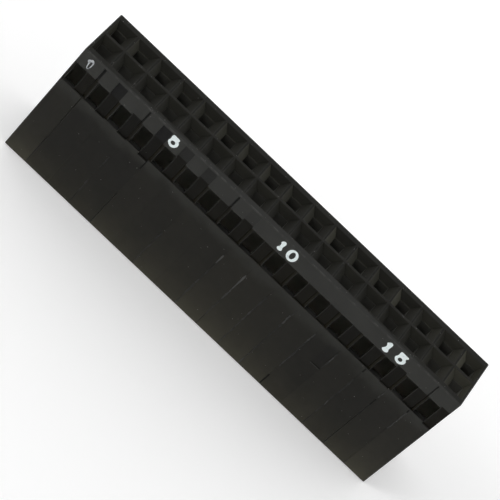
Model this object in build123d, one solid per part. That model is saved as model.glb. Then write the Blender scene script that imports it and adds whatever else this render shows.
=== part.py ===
from build123d import *
import os

# Double-row socket housing for crimped contacts, moulded in one piece.
# X runs along the rows, from position 1 to the last position.
# Y runs across the two rows, with the numbered side at -Y.
# Z runs from the wire-entry face, at zero, up to the mating face.
# The origin is the middle of the wire-entry face. All sizes are in millimetres.

# Grid of positions
pitch = 2.54
columns = 17
row_pitch = 2.54

# Outer block. Each end is a little short of the grid, so that housings fit end to end.
end_relief = 0.11
body_width = 6.10
body_height = 14.80
edge_radius = 0.10

# Square lead-in funnels in the mating face
mouth_partition = 0.16
mouth_web = 0.26
mouth_rim = 0.62
funnel_depth = 0.58
throat_size_x = 1.16
throat_size_y = 1.12
throat_ledge = 0.08

# Contact chambers, open at the wire-entry face
chamber_partition = 0.56
chamber_web = 0.30
outer_wall = 0.50
end_wall = 0.22
front_plate = 1.75
wire_lead_in = 0.06

# Recessed band with one lance window for each position
band_from_top = 1.83
band_height = 2.58
band_recess = 0.12
window_width = 1.22

# Traces of the stacked mould plates, one plate to a position
seam_width = 0.08
seam_depth = 0.04
wide_seam_width = 0.14
wide_seam_depth = 0.09
wide_seam_runs = {1: (0.0, 6.8), 4: (5.4, 10.5), 15: (4.8, 10.5)}
slot_depth = 0.24
slot_widths = {1: 0.24, 3: 0.18, 7: 0.18, 16: 0.12}
skin_margin = 0.18
unfilled_skins = {2: 0.12, 4: 0.12, 5: 0.08, 6: 0.05, 8: 0.03}
rib_reach_up = {3: 0.25, 5: 0.25, 6: 0.22, 8: 0.25, 15: 0.25, 17: 0.25}
rib_reach_down = {2: 0.10, 3: 0.12, 4: 0.30, 15: 0.12, 17: 0.22}
patch_position = 13
patch_width = 1.05
patch_from_top = 5.15
patch_height = 3.30
patch_depth = 0.04

# Values that follow from the sizes above
body_length = columns * pitch - 2 * end_relief
inner_end = body_length / 2 - end_wall
front = -body_width / 2
row_y = -row_pitch / 2
band_top = body_height - band_from_top
band_bottom = band_top - band_height
window_right = (chamber_partition - pitch) / 2 + window_width
overshoot = 1.0


def column_x(position):
    """X of the middle of a position, counted from 1."""
    return (position - (columns + 1) / 2) * pitch


def seam_x(position):
    """X of the seam at the far end of a position."""
    return column_x(position) + pitch / 2


def between_partitions(position, partition):
    """The span along X between two partitions, kept clear of the end walls."""
    reach = (pitch - partition) / 2
    middle = column_x(position)
    return max(middle - reach, -inner_end), min(middle + reach, inner_end)


def block(x_range, y_range, z_range):
    """A box given by its lowest and highest values along each axis."""
    lows, highs = zip(x_range, y_range, z_range)
    size = [high - low for low, high in zip(lows, highs)]
    return Pos(*lows) * Box(*size, align=Align.MIN)


def rectangle_at(x_range, y_range, level):
    """A flat rectangle at a height, given by its ranges along X and Y."""
    middle = (sum(x_range) / 2, sum(y_range) / 2, level)
    size = (x_range[1] - x_range[0], y_range[1] - y_range[0])
    return Pos(*middle) * Rectangle(*size)


def funnel(position):
    """The lead-in that narrows from the mating face to the throat, ending in a narrow ledge."""
    middle = column_x(position)
    ledge_y = throat_size_y / 2 + throat_ledge
    mouth_x = between_partitions(position, mouth_partition)
    mouth_y = (front + mouth_rim, -mouth_web / 2)
    mouth = rectangle_at(mouth_x, mouth_y, body_height)
    floor_x = (middle - throat_size_x / 2, middle + throat_size_x / 2)
    floor_y = (row_y - ledge_y, row_y + ledge_y)
    floor = rectangle_at(floor_x, floor_y, body_height - funnel_depth)
    return loft([floor, mouth]) + extrude(mouth, overshoot, dir=(0, 0, 1))


def throat(position):
    """The square hole in the front plate that a post of the mating header passes through."""
    middle = column_x(position)
    top = body_height - funnel_depth / 2
    bottom = body_height - front_plate - overshoot / 2
    x_range = (middle - throat_size_x / 2, middle + throat_size_x / 2)
    y_range = (row_y - throat_size_y / 2, row_y + throat_size_y / 2)
    return block(x_range, y_range, (bottom, top))


def chamber(position):
    """The space that a contact is pushed into from the wire side, with a chamfered entry."""
    x_range = between_partitions(position, chamber_partition)
    y_range = (front + outer_wall, -chamber_web / 2)
    wide_x = (x_range[0] - wire_lead_in, x_range[1] + wire_lead_in)
    wide_y = (y_range[0] - wire_lead_in, y_range[1] + wire_lead_in)
    space = block(x_range, y_range, (0, body_height - front_plate))
    entry = loft([rectangle_at(wide_x, wide_y, 0), rectangle_at(x_range, y_range, wire_lead_in)])
    return space + entry


def window(position):
    """The opening in the outer wall that a contact's lance snaps into."""
    left = between_partitions(position, chamber_partition)[0]
    y_range = (front - overshoot, front + outer_wall + overshoot / 2)
    return block((left, column_x(position) + window_right), y_range, (band_bottom, band_top))


def position_cutter(position):
    """Everything that one position of the numbered row takes out of the block."""
    return funnel(position) + throat(position) + chamber(position) + window(position)


def outside_cut(x_range, depth, z_range):
    """A cut of a given depth into the numbered side."""
    return block(x_range, (front - overshoot, front + depth), z_range)


def band():
    """The shallow recess along the numbered side that all the windows open into."""
    x_range = (-body_length / 2 - overshoot, body_length / 2 + overshoot)
    return outside_cut(x_range, band_recess, (band_bottom, band_top))


def seam(position, surface, z_range, width=seam_width, depth=seam_depth):
    """The fine groove left in a surface of the numbered side where two mould plates met."""
    middle = seam_x(position)
    outline = Polyline(
        (middle - width / 2, surface),
        (middle, surface + depth),
        (middle + width / 2, surface),
        (middle, surface - band_recess / 2),
        close=True,
    )
    return Pos(0, 0, z_range[0]) * extrude(make_face(outline), z_range[1] - z_range[0])


def seams():
    """Every groove of one side, below the band and across its ribs."""
    cuts = []
    for position in range(1, columns):
        cuts.append(seam(position, front, (0, band_bottom + band_recess)))
        cuts.append(seam(position, front + band_recess, (band_bottom, band_top)))
    return cuts


def wide_seam(position, run):
    """A stretch of a seam that is wider and deeper, from one distance below the band to another."""
    z_range = (band_bottom - run[1], band_bottom - run[0])
    return seam(position, front, z_range, wide_seam_width, wide_seam_depth)


def open_seam(position, width):
    """A seam that stayed open above and inside the band, as a narrow slot."""
    middle = seam_x(position)
    z_range = (band_bottom, body_height - skin_margin)
    return outside_cut((middle - width / 2, middle + width / 2), slot_depth, z_range)


def rib_span(position):
    """The span along X from a window to the seam beyond it."""
    last = position == columns
    return column_x(position) + window_right, seam_x(position) + (overshoot if last else 0)


def rib_marks():
    """Where the skin over a rib didn't fill, and where a rib's recess runs past the band."""
    marks = []
    for position, depth in unfilled_skins.items():
        marks.append((position, depth, (band_top, body_height - skin_margin)))
    for position, reach in rib_reach_up.items():
        marks.append((position, band_recess, (band_top, band_top + reach)))
    for position, reach in rib_reach_down.items():
        marks.append((position, band_recess, (band_bottom - reach, band_bottom)))
    return [outside_cut(rib_span(n), depth, z_range) for n, depth, z_range in marks if n <= columns]


def shallow_patch():
    """The shallow rectangular dent in the wall below one window."""
    patch_top = body_height - patch_from_top
    right = seam_x(patch_position)
    return outside_cut((right - patch_width, right), patch_depth, (patch_top - patch_height, patch_top))


def side_cuts():
    """What both long sides share, given for the numbered one: positions, band and seams."""
    positions = [position_cutter(number) for number in range(1, columns + 1)]
    return positions + seams() + [band()]


def moulding_marks():
    """Marks that only the numbered side has."""
    marks = [open_seam(n, width) for n, width in slot_widths.items() if n < columns]
    marks += [wide_seam(n, run) for n, run in wide_seam_runs.items() if n < columns]
    marks += rib_marks()
    if patch_position < columns:
        marks.append(shallow_patch())
    return marks


def housing():
    """The whole moulding. Its second row is the first one turned half a turn about Z."""
    outside = Pos(0, 0, body_height / 2) * Box(body_length, body_width, body_height)
    outside = fillet(outside.edges(), edge_radius)
    cuts = side_cuts()
    half_turn = Rot(0, 0, 180)
    cuts += [half_turn * cut for cut in cuts]
    return outside - cuts - moulding_marks()


os.makedirs("parts", exist_ok=True)
part = housing()
part.label = "housing"
export_step(part, "parts/housing.step")
print("housing:", len(part.solids()), "solid,", len(part.faces()), "faces,", round(part.volume, 2), "mm3")
print("size:", part.bounding_box().size)
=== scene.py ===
import logging
import math
from dataclasses import dataclass
from enum import Enum

import bmesh
import bpy
from mathutils import Matrix, Vector


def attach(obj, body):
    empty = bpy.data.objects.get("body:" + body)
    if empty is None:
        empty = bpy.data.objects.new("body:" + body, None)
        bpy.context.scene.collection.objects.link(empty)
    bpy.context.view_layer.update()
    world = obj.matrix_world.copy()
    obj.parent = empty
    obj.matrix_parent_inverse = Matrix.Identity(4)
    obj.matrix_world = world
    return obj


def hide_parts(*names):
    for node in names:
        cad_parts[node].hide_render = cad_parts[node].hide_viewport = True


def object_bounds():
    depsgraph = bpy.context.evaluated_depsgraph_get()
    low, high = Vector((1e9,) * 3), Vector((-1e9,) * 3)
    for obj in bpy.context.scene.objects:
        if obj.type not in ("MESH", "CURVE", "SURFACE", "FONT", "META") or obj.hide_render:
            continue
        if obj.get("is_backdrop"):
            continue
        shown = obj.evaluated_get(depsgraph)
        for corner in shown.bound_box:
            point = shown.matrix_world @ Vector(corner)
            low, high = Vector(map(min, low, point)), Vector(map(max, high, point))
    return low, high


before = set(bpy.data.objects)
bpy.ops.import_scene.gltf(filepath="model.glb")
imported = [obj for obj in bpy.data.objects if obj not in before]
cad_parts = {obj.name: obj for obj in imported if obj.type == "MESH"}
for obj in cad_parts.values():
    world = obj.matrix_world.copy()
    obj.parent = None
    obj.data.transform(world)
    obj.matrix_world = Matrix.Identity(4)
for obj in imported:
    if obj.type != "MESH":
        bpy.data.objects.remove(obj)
log = logging.getLogger("socket_housing")

MM = 0.001
Rgb = tuple[float, float, float]
Point = tuple[float, float]
Line = tuple[Vector, Vector]
Piece = bpy.types.Object
Material = bpy.types.Material
Socket = bpy.types.NodeSocket
Tree = bpy.types.NodeTree
Face = bmesh.types.BMFace
Shape = bmesh.types.BMesh

# How much lighter each plate's long wall is than the finish, by position. The others are 0.
WALL_SHADES = {
    1: 0.2, 2: -0.25, 3: -0.25, 4: -0.25, 5: 0.05, 7: 0.2, 8: 0.1, 9: 0.4, 10: 0.4,
    11: 0.3, 12: 0.15, 13: -0.2, 15: -0.15, 17: 0.35,
}
# Painted highlight on the far funnels' left slopes: how much lighter each is than its finish, by position,
# where it mirrors the lamp most.
FAR_SLOPE_PAINTED_HIGHLIGHTS = {
    3: 1.0, 4: 0.8, 5: 1.2, 6: 2.2, 7: 2.2, 8: 2.2, 11: 3.2, 14: 3.4, 15: 0.7, 16: 0.8, 17: 4.6,
}
# Painted light added to all slopes of the last funnels, near the lit end.
NEAR_FUNNEL_PAINTED_LIGHT = {16: 0.9, 17: 2.5}
FAR_FUNNEL_PAINTED_LIGHT = {15: 0.6, 16: 0.7, 17: 1.4}


@dataclass(frozen=True)
class Layout:
    """Sizes of the moulding that the dressing follows, in millimetres."""

    pitch: float = 2.54
    columns: int = 17
    length: float = 42.96
    width: float = 6.10
    height: float = 14.80
    mouth_rim: float = 0.62
    funnel_depth: float = 0.58
    band_from_top: float = 1.83
    band_height: float = 2.58
    band_recess: float = 0.12
    slot_depth: float = 0.24
    outer_wall: float = 0.50
    window_left: float = 0.28
    window_right: float = 1.50
    edge_radius: float = 0.10
    patch_position: int = 13
    patch_width: float = 1.05
    patch_bottom: float = 8.45
    print_relief: float = 0.01

    @property
    def front(self) -> float:
        """Y of the numbered side."""
        return -self.width / 2

    @property
    def band_top(self) -> float:
        """Z of the upper edge of the recessed band."""
        return self.height - self.band_from_top

    @property
    def band_bottom(self) -> float:
        """Z of the lower edge of the recessed band."""
        return self.band_top - self.band_height

    def seam_x(self, seam: int) -> float:
        """X of the seam beyond a position, counted from 1."""
        return (seam - self.columns / 2) * self.pitch

    def turns(self, x: float) -> float:
        """How many pitches a place along X is from the first position's outer end."""
        return x / self.pitch + self.columns / 2

    def plate_of(self, x: float) -> int:
        """The position, counted from 1, that a place along X belongs to."""
        return min(max(math.floor(self.turns(x)) + 1, 1), self.columns)

    def beyond_window(self, x: float) -> bool:
        """Whether a place along X lies between a window and the seam beyond it."""
        return self.turns(x) % 1.0 > 0.6

    def seam_distance(self, x: float) -> float:
        """How far a place along X is from the nearest seam."""
        return abs(self.turns(x) - round(self.turns(x))) * self.pitch

    def depth_of(self, place: Vector) -> float:
        """How deep a place lies under the nearer long side."""
        return self.width / 2 - abs(place.y)


class Zone(Enum):
    """The differently finished surfaces of the moulding, in the order of its material slots."""

    SKIN = 0
    BAND = 1
    FUNNEL = 2
    BORE = 3
    GAP = 4
    WALL = 5
    BROW = 6
    GROOVE = 7
    LEDGE = 8


class Lip(Enum):
    """The outward corners that get a small round: its reach in millimetres, and how light it is, rubbed and
    with painted highlight.
    """

    WINDOW = (0.055, 0.42)
    LEDGE = (0.035, 0.9)
    RIM = (0.03, 0.1)
    OTHER = (0.03, 0.3)

    @property
    def reach(self) -> float:
        """How far the round reaches from the corner."""
        return self.value[0]

    @property
    def rubbed(self) -> float:
        """How light the corner is, rubbed and with painted highlight, from 0 to 1."""
        return self.value[1]


class SeamKind(Enum):
    """What a stretch of a plate seam looks like."""

    CLOSED = "closed"
    FLASH = "flash"
    FAINT = "faint"
    BEAD = "bead"
    GAP = "gap"
    BURR = "burr"
    TOP = "top"


class Wiring:
    """Adds nodes to one node tree and joins them."""

    def __init__(self, tree: Tree) -> None:
        """Keeps the tree that the nodes go into."""
        self.tree = tree

    def add(self, kind: str, **settings: object) -> bpy.types.Node:
        """Adds a node.

        Args:
            kind: The node type's own name.
            settings: Properties of the node, such as its operation.

        Returns:
            The new node.
        """
        node = self.tree.nodes.new(kind)
        for name, value in settings.items():
            setattr(node, name, value)
        return node

    def feed(self, socket: Socket, source: object) -> None:
        """Joins a socket to an output, or sets it to a plain value.

        Args:
            socket: The input.
            source: An output, a number, a colour or a material.
        """
        if isinstance(source, bpy.types.NodeSocket):
            self.tree.links.new(source, socket)
        elif socket.type == "RGBA" and len(source) == 3:
            socket.default_value = (*source, 1.0)
        else:
            socket.default_value = source

    def fill(self, node: bpy.types.Node, **values: object) -> bpy.types.Node:
        """Feeds inputs of a node by name.

        Args:
            node: The node.
            values: What each input gets, with an underscore for each space of its name.

        Returns:
            The same node.
        """
        for name, value in values.items():
            self.feed(node.inputs[name.replace("_", " ")], value)
        return node

    def maths(self, operation: str, *terms: object, clamp: bool = False) -> Socket:
        """Works out one number from others.

        Args:
            operation: The Math node's operation.
            terms: Sockets or plain numbers.
            clamp: Whether the result stays between 0 and 1.

        Returns:
            The socket that holds the result.
        """
        node = self.add("ShaderNodeMath", operation=operation, use_clamp=clamp)
        for socket, term in zip(node.inputs, terms):
            self.feed(socket, term)
        return node.outputs[0]

    def ramp(self, value: Socket, low: object, high: object, to: Point = (0.0, 1.0)) -> Socket:
        """Smooth step of a value.

        Args:
            value: The socket that is stepped.
            low: Where the step begins.
            high: Where the step ends.
            to: What the result is before and after the step.

        Returns:
            The socket that holds the result.
        """
        node = self.add("ShaderNodeMapRange", interpolation_type="SMOOTHSTEP")
        self.fill(node, Value=value, From_Min=low, From_Max=high, To_Min=to[0], To_Max=to[1])
        return node.outputs[0]

    def noise(self, position: Socket, scale: object, detail: float = 2.0) -> Socket:
        """Soft noise from 0 to 1, with so many bumps to each unit of a position and so many finer layers."""
        node = self.add("ShaderNodeTexNoise")
        return self.fill(node, Vector=position, Scale=scale, Detail=detail).outputs["Fac"]

    def blend(self, factor: object, first: object, second: object) -> Socket:
        """Mixes two colours.

        Args:
            factor: The share of the second colour.
            first: A colour or a socket.
            second: A colour or a socket.

        Returns:
            The socket that holds the mixed colour.
        """
        node = self.add("ShaderNodeMix", data_type="RGBA")
        for index, source in ((0, factor), (6, first), (7, second)):
            self.feed(node.inputs[index], source)
        return node.outputs[2]

    def scaled(self, vector: object, factor: object) -> Socket:
        """A vector or colour times a number."""
        node = self.add("ShaderNodeVectorMath", operation="SCALE")
        return self.fill(node, Vector=vector, Scale=factor).outputs[0]

    def vector(self, x: object = 0.0, y: object = 0.0, z: object = 0.0) -> Socket:
        """A vector from three numbers or sockets."""
        return self.fill(self.add("ShaderNodeCombineXYZ"), X=x, Y=y, Z=z).outputs[0]

    def group(self, tree: Tree, **values: object) -> bpy.types.NodeOutputs:
        """Places a node group, feeds its inputs by name, and returns its outputs."""
        return self.fill(self.add("ShaderNodeGroup", node_tree=tree), **values).outputs


class Effects:
    """The shader node groups that the finishes share. Positions are in millimetres."""

    def __init__(self, layout: Layout) -> None:
        """Builds every group once.

        Args:
            layout: Sizes of the moulding.
        """
        self.layout = layout
        self.grain = self._grain()
        self.plate_tone = self._plate_tone()
        self.wall_sheen = self._wall_sheen()
        self.lip_wear = self._lip_wear()
        self.dust_film = self._dust_film()

    @staticmethod
    def _group(name: str, inputs: dict[str, float], outputs: list[str]) -> tuple[Wiring, object, object]:
        """Starts a group that reads a position.

        Args:
            name: The group's name.
            inputs: Each plain number that goes in, with its first value.
            outputs: The outputs, all plain numbers.

        Returns:
            The wiring of the group, its input sockets and its output sockets.
        """
        tree = bpy.data.node_groups.new(name, "ShaderNodeTree")
        tree.interface.new_socket(name="Position", in_out="INPUT", socket_type="NodeSocketVector")
        for title, value in inputs.items():
            socket = tree.interface.new_socket(name=title, in_out="INPUT", socket_type="NodeSocketFloat")
            socket.default_value = value
        for title in outputs:
            tree.interface.new_socket(name=title, in_out="OUTPUT", socket_type="NodeSocketFloat")
        w = Wiring(tree)
        return w, w.add("NodeGroupInput").outputs, w.add("NodeGroupOutput").inputs

    def _grain(self) -> Tree:
        """Fine spark-eroded grain with a coarser drift under it."""
        w, given, out = self._group("fine grain", {"Size": 0.06, "Coarse Share": 0.3}, ["Height", "Mottle"])
        scale = w.maths("DIVIDE", 1.0, given["Size"])
        fine = w.noise(given["Position"], scale, 4.0)
        coarse = w.noise(given["Position"], w.maths("DIVIDE", scale, 9.0), 3.0)
        rest = w.maths("SUBTRACT", 1.0, given["Coarse Share"])
        fine = w.maths("MULTIPLY", fine, rest)
        w.feed(out["Height"], w.maths("MULTIPLY_ADD", coarse, given["Coarse Share"], fine))
        w.feed(out["Mottle"], w.ramp(coarse, 0.3, 0.7))
        return w.tree

    def _plate_tone(self) -> Tree:
        """Change of shade from one mould plate to the next, with the painted light and shade that each face
        carries, and a slow drift.
        """
        w, given, out = self._group("plate tone", {"Contrast": 1.0, "Drift": 0.3}, ["Tone"])
        plate = w.add("ShaderNodeAttribute", attribute_name="plate").outputs["Fac"]
        drift = w.maths("SUBTRACT", w.noise(given["Position"], 0.5, 4.0), 0.5)
        level = w.maths("MULTIPLY_ADD", drift, given["Drift"], 1.0)
        w.feed(out["Tone"], w.maths("MULTIPLY_ADD", plate, given["Contrast"], level))
        return w.tree

    def _wall_sheen(self) -> Tree:
        """Painted light: a wavy painted sheen under the band, painted light that grows towards the lower
        edge, and painted light inside the chambers at the windows.
        """
        inputs = {"Upper Reach": 0.7, "Lower Reach": 2.0, "Waviness": 2.2}
        w, given, out = self._group("wall sheen", inputs, ["Upper", "Lower", "Inner"])
        height = w.fill(w.add("ShaderNodeSeparateXYZ"), Vector=given["Position"]).outputs["Z"]
        wave = w.maths("SUBTRACT", w.noise(given["Position"], 0.55, 2.0), 0.5)
        level = w.maths("MULTIPLY_ADD", wave, given["Waviness"], height)
        edge = self.layout.band_bottom
        # Painted sheen in a wavy zone under the band.
        start = w.maths("SUBTRACT", edge, given["Upper Reach"])
        w.feed(out["Upper"], w.ramp(level, w.maths("SUBTRACT", start, 1.0), w.maths("ADD", start, 0.6)))
        # Painted light that grows towards the lower edge.
        fall = w.maths("DIVIDE", w.maths("MULTIPLY_ADD", wave, 1.2, height), given["Lower Reach"])
        w.feed(out["Lower"], w.maths("EXPONENT", w.maths("MULTIPLY", fall, -1.0)))
        # Painted light inside the chambers, behind the windows.
        inner = w.ramp(height, edge - 5.4, edge - 3.2)
        inner = w.maths("MULTIPLY", inner, w.ramp(height, edge - 3.0, edge - 0.2, (1.0, 0.4)))
        inner = w.maths("MULTIPLY", inner, w.ramp(height, edge - 0.4, edge + 1.2, (1.0, 0.12)))
        w.feed(out["Inner"], inner)
        return w.tree

    def _lip_wear(self) -> Tree:
        """The rubbed rounded lips, lighter from wear and painted highlight: a steady share of each, and spots
        that are rubbed all the way.
        """
        w, given, out = self._group("lip wear", {"Spot Size": 0.35, "Amount": 0.5, "Steady": 0.5}, ["Wear"])
        lip = w.add("ShaderNodeAttribute", attribute_name="lip").outputs["Fac"]
        spots = w.noise(given["Position"], w.maths("DIVIDE", 1.0, given["Spot Size"]), 3.0)
        reach = w.maths("MULTIPLY_ADD", given["Amount"], -0.5, 0.75)
        spot = w.ramp(spots, reach, w.maths("ADD", reach, 0.18))
        shown = w.maths("MULTIPLY_ADD", spot, w.maths("SUBTRACT", 1.0, given["Steady"]), given["Steady"])
        w.feed(out["Wear"], w.maths("MULTIPLY", lip, shown, clamp=True))
        return w.tree

    def _dust_film(self) -> Tree:
        """Tiny pale specks that settled on the surface."""
        inputs = {"Spacing": 0.5, "Speck Size": 0.03, "Amount": 0.1}
        w, given, out = self._group("dust film", inputs, ["Dust"])
        cells = w.add("ShaderNodeTexVoronoi", feature="F1")
        w.fill(cells, Vector=given["Position"], Scale=w.maths("DIVIDE", 1.0, given["Spacing"]))
        radius = w.maths("DIVIDE", given["Speck Size"], given["Spacing"])
        speck = w.ramp(cells.outputs["Distance"], w.maths("MULTIPLY", radius, 0.4), radius, (1.0, 0.0))
        chance = w.fill(w.add("ShaderNodeSeparateColor"), Color=cells.outputs["Color"]).outputs[0]
        chosen = w.maths("LESS_THAN", chance, given["Amount"])
        w.feed(out["Dust"], w.maths("MULTIPLY", speck, chosen))
        return w.tree


def new_material(name: str) -> tuple[Material, Wiring]:
    """Starts a material with an empty node tree.

    Args:
        name: The material's name.

    Returns:
        The material and its wiring.
    """
    material = bpy.data.materials.new(name)
    material.use_nodes = True
    material.node_tree.nodes.clear()
    return material, Wiring(material.node_tree)


@dataclass(frozen=True)
class Finish:
    """What plastic and ink have in common. Sizes are in millimetres."""

    name: str
    colour: Rgb

    @staticmethod
    def place(w: Wiring) -> Socket:
        """The place on the object, in millimetres."""
        return w.scaled(w.add("ShaderNodeTexCoord").outputs["Object"], 1 / MM)

    @staticmethod
    def close(w: Wiring, colour: Socket, rough: Socket, relief: Socket, depth: float, gloss: float) -> None:
        """Ends a material in its shader.

        Args:
            w: The material's wiring.
            colour: The surface's colour.
            rough: Its roughness.
            relief: The height of its grain, from 0 to 1.
            depth: How deep the grain is.
            gloss: The shader's specular level.
        """
        bump = w.fill(w.add("ShaderNodeBump"), Strength=1.0, Distance=depth * MM, Height=relief)
        shader = w.add("ShaderNodeBsdfPrincipled")
        w.fill(shader, Base_Color=colour, Roughness=rough, Normal=bump.outputs[0])
        w.fill(shader, Specular_IOR_Level=gloss, IOR=1.5)
        w.fill(w.add("ShaderNodeOutputMaterial"), Surface=shader.outputs[0])


@dataclass(frozen=True)
class PlasticFinish(Finish):
    """One finish of the black plastic."""

    roughness: float
    specular: float
    grain_size: float = 0.06
    grain_height: float = 0.004
    plate_contrast: float = 0.0
    drift: float = 0.2
    # Painted sheen colour under the band, and painted light towards the lower edge and inside at the windows.
    upper_colour: Rgb | None = None
    lower_sheen: float = 0.0
    inner_sheen: float = 0.0
    # Lighter rounded lips, from wear and painted highlight.
    wear: float = 0.4
    steady_wear: float = 0.55
    wear_colour: Rgb = (0.05, 0.05, 0.047)
    dust: float = 0.05
    dust_colour: Rgb = (0.22, 0.22, 0.21)

    def make(self, effects: Effects) -> Material:
        """Builds the material.

        Args:
            effects: The shared shader groups.

        Returns:
            The finished material.
        """
        material, w = new_material(self.name)
        mm = self.place(w)
        grain = w.group(effects.grain, Position=mm, Size=self.grain_size, Coarse_Share=0.3)
        wear = w.group(effects.lip_wear, Position=mm, Amount=self.wear, Steady=self.steady_wear)["Wear"]
        dust = w.group(effects.dust_film, Position=mm, Amount=self.dust)["Dust"]
        tone = w.group(effects.plate_tone, Position=mm, Contrast=self.plate_contrast, Drift=self.drift)
        shade = tone["Tone"]
        # Painted light: the lower and inner zones lighten the colour, and the upper zone blends in the
        # painted sheen colour.
        zones = {"Lower": self.lower_sheen, "Inner": self.inner_sheen}
        if self.upper_colour or any(zones.values()):
            sheen = w.group(effects.wall_sheen, Position=mm)
            lift = 1.0
            for zone, share in zones.items():
                if share:
                    lift = w.maths("MULTIPLY_ADD", sheen[zone], share, lift)
            shade = w.maths("MULTIPLY", shade, lift)
        colour = w.scaled(self.colour, shade)
        if self.upper_colour:
            colour = w.blend(sheen["Upper"], colour, self.upper_colour)
        colour = w.blend(dust, w.blend(wear, colour, self.wear_colour), self.dust_colour)
        rough = w.maths("MULTIPLY_ADD", grain["Mottle"], 0.08, self.roughness - 0.04)
        rough = w.maths("MULTIPLY_ADD", wear, -0.08, rough)
        rough = w.maths("MULTIPLY_ADD", dust, 0.3, rough, clamp=True)
        self.close(w, colour, rough, grain["Height"], self.grain_height, self.specular)
        return material


@dataclass(frozen=True)
class InkFinish(Finish):
    """Printing ink, thin enough to let the black through in spots."""

    thin_colour: Rgb
    thin_share: float
    roughness: float = 0.55
    specular: float = 0.3
    grain_height: float = 0.003
    dust_colour: Rgb = (0.3, 0.3, 0.3)

    def make(self, effects: Effects) -> Material:
        """Builds the material.

        Args:
            effects: The shared shader groups.

        Returns:
            The finished material.
        """
        material, w = new_material(self.name)
        mm = self.place(w)
        shift = 0.3 * self.thin_share
        thin = w.ramp(w.noise(mm, 2.6, 3.0), 0.62 - shift, 0.78 - shift)
        grain = w.group(effects.grain, Position=mm, Size=0.05, Coarse_Share=0.4)
        dust = w.group(effects.dust_film, Position=mm, Spacing=0.3, Amount=0.08)["Dust"]
        colour = w.blend(dust, w.blend(thin, self.colour, self.thin_colour), self.dust_colour)
        rough = w.maths("MULTIPLY_ADD", grain["Mottle"], 0.1, self.roughness, clamp=True)
        self.close(w, colour, rough, grain["Height"], self.grain_height, self.specular)
        return material


class Finishes:
    """Every material of the object, made once."""

    def __init__(self, effects: Effects) -> None:
        """Builds the materials.

        Args:
            effects: The shared shader groups.
        """
        self.skin = PlasticFinish(
            "matte plate skin", (0.0085, 0.0086, 0.0068), roughness=0.52, specular=0.25,
            wear=0.55, steady_wear=0.3, dust=0.08,
        ).make(effects)
        # Painted sheen under the band and painted light towards the lower edge, over the plates' own tones.
        self.wall = PlasticFinish(
            "long wall skin", (0.0085, 0.0079, 0.0056), roughness=0.52, specular=0.15,
            plate_contrast=1.0, drift=0.7, upper_colour=(0.0224, 0.0226, 0.0190), lower_sheen=4.2, wear=0.55,
        ).make(effects)
        # Painted light: lighter than the long wall below the band.
        self.brow = PlasticFinish(
            "upper wall skin", (0.0300, 0.0302, 0.0273), roughness=0.52, specular=0.15,
            plate_contrast=0.3, drift=0.6, wear=0.6, steady_wear=0.35, dust=0.1,
        ).make(effects)
        # Painted highlight on the up-facing ledges and sills, partly their wear.
        self.ledge = PlasticFinish(
            "rubbed ledge skin", (0.058, 0.056, 0.052), roughness=0.5, specular=0.25,
            plate_contrast=1.0, drift=1.2, wear=0.6,
        ).make(effects)
        self.band = PlasticFinish(
            "dark band skin", (0.0058, 0.0044, 0.0006), roughness=0.48, specular=0.10,
            plate_contrast=1.0, wear=0.3,
        ).make(effects)
        self.funnel = PlasticFinish(
            "polished funnel skin", (0.0088, 0.0086, 0.0064), roughness=0.55, specular=0.14,
            plate_contrast=1.0, drift=1.2, grain_height=0.003, wear=0.5,
        ).make(effects)
        # Painted light: lighter than the other skins, and much lighter inside at the windows.
        self.bore = PlasticFinish(
            "dark bore skin", (0.033, 0.0325, 0.0285), roughness=0.6, specular=0.15,
            plate_contrast=1.0, inner_sheen=21.0, wear=0.1, steady_wear=0.0, dust=0.02,
        ).make(effects)
        self.flash = PlasticFinish(
            "pale seam flash", (0.022, 0.022, 0.020), roughness=0.45, specular=0.35, drift=0.9, dust=0.1
        ).make(effects)
        # Painted light towards the lower edge, as on the wall.
        self.faint = PlasticFinish(
            "faint seam flash", (0.0125, 0.0123, 0.0108), roughness=0.5, specular=0.2,
            drift=1.2, lower_sheen=3.2,
        ).make(effects)
        self.bead = PlasticFinish(
            "raised seam bead", (0.050, 0.050, 0.047), roughness=0.45, specular=0.3, drift=1.0
        ).make(effects)
        # Painted sheen under the band and painted light towards the lower edge, as on the wall.
        self.groove = PlasticFinish(
            "fine groove skin", (0.0130, 0.0125, 0.0110), roughness=0.55, specular=0.18,
            plate_contrast=1.0, drift=0.8, upper_colour=(0.025, 0.025, 0.022), lower_sheen=2.4, wear=0.0,
        ).make(effects)
        # Painted light: lighter than the wall, against the shade in the open grooves, and towards the lower
        # edge.
        self.open_groove = PlasticFinish(
            "open groove skin", (0.028, 0.0275, 0.023), roughness=0.6, specular=0.12,
            drift=0.8, lower_sheen=1.0, wear=0.0,
        ).make(effects)
        self.gap = PlasticFinish(
            "dark seam gap", (0.009, 0.009, 0.008), roughness=0.7, specular=0.06, wear=0.0, dust=0.0
        ).make(effects)
        self.burr = PlasticFinish(
            "pale window burr", (0.016, 0.0155, 0.0135), roughness=0.5, specular=0.2, drift=0.9
        ).make(effects)
        self.white_ink = InkFinish(
            "white printing ink", (0.92, 1.0, 1.0), thin_colour=(0.70, 0.78, 0.79), thin_share=0.25
        ).make(effects)
        self.grey_ink = InkFinish(
            "thin printing ink", (0.49, 0.51, 0.53), thin_colour=(0.17, 0.18, 0.20), thin_share=0.5
        ).make(effects)
        self.lint = InkFinish(
            "pale lint", (0.30, 0.30, 0.29), thin_colour=(0.18, 0.18, 0.17), thin_share=0.5, roughness=0.9
        ).make(effects)

    def of_zones(self) -> list[Material]:
        """The moulding's materials in the order of its zones."""
        inside = [self.skin, self.band, self.funnel, self.bore, self.open_groove]
        return [*inside, self.wall, self.brow, self.groove, self.ledge]


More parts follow.
